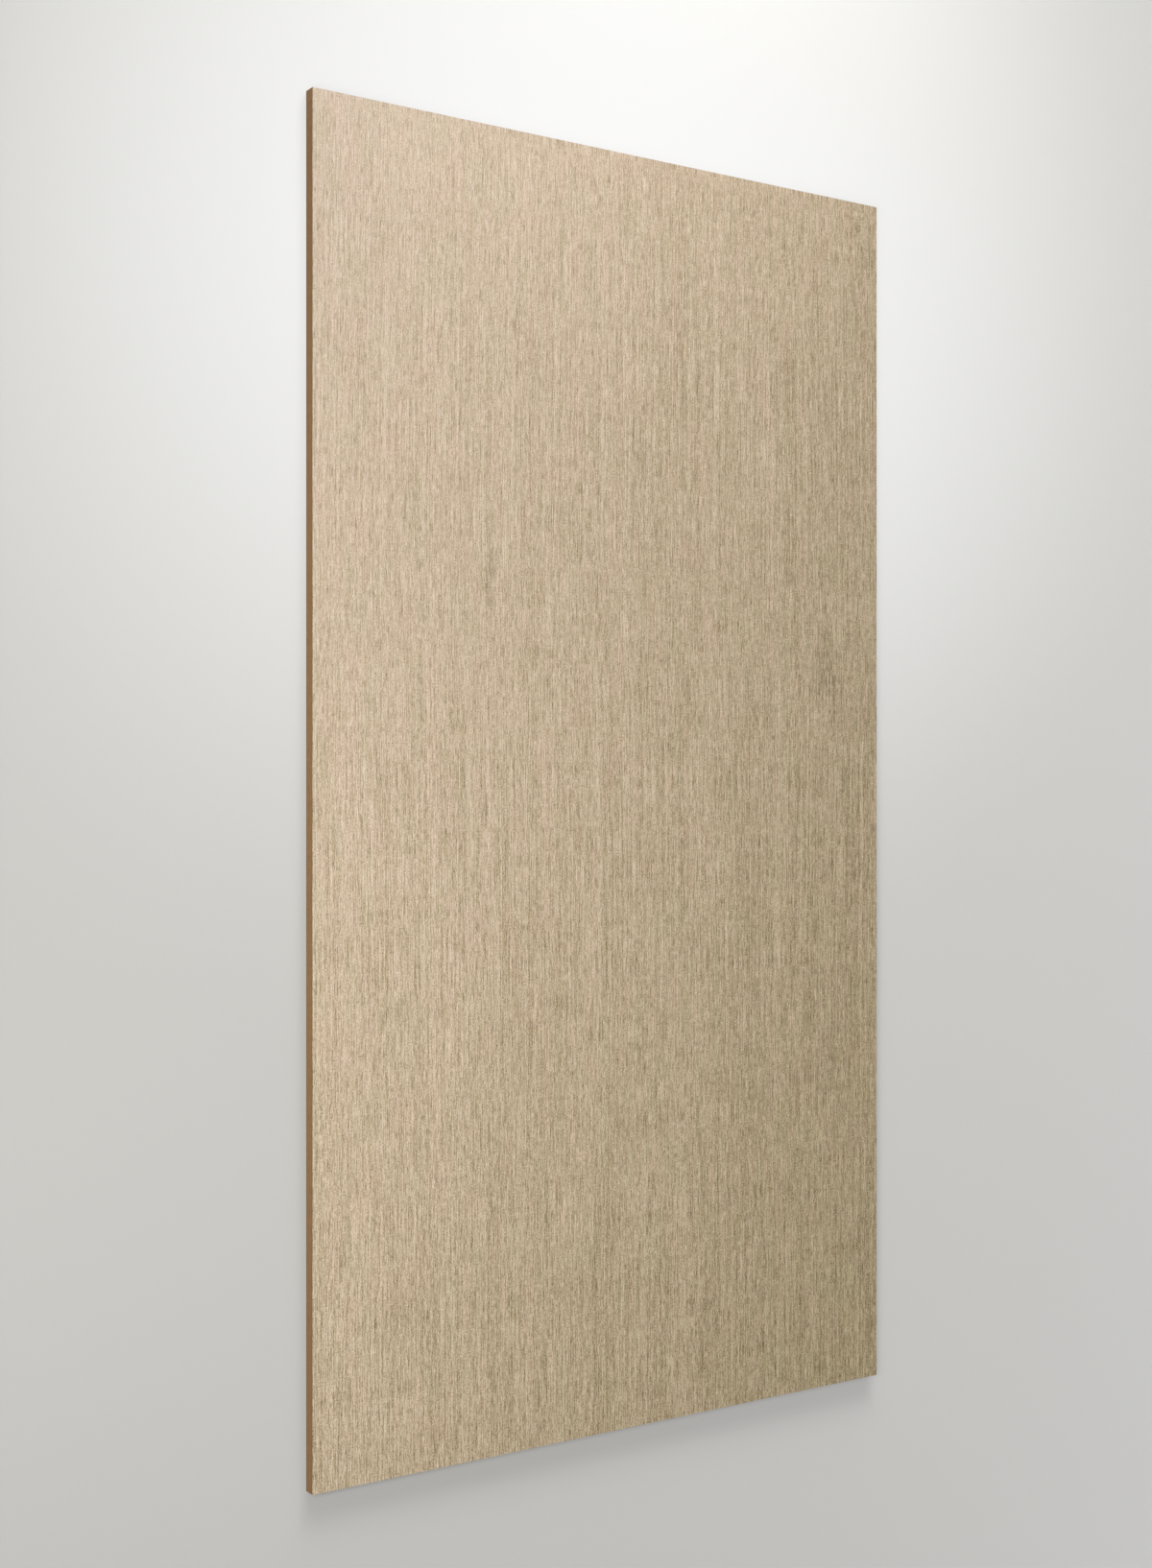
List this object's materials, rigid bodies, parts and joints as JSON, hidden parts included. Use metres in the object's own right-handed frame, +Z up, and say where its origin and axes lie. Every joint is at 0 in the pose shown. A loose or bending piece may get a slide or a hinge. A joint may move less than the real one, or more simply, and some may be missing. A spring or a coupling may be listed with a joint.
{
  "type": "wood veneer sheet",
  "caption": "Flat rectangular board with a pale straight-grained oak leaf on its top face and plain brown fibreboard edges and back, for cladding, doors and cabinet panels.",
  "frame": {"origin": "centre of the board's back, which is the face it lies on", "axes": "+Z up out of the veneered face, through the thickness; +Y along the grain and the sheet's length; +X across the grain, along the sheet's width"},
  "size_m": [1.31, 2.44, 0.025],
  "materials": {
    "core_fibreboard": "plain brown wood fibre board, sawn and sanded, unsealed",
    "oak_veneer": "pale beige straight-grained oak, fine pores, matt"
  },
  "bodies": {
    "root": {"core_board": "core_fibreboard", "face_veneer": "oak_veneer"}
  },
  "joints": []
}
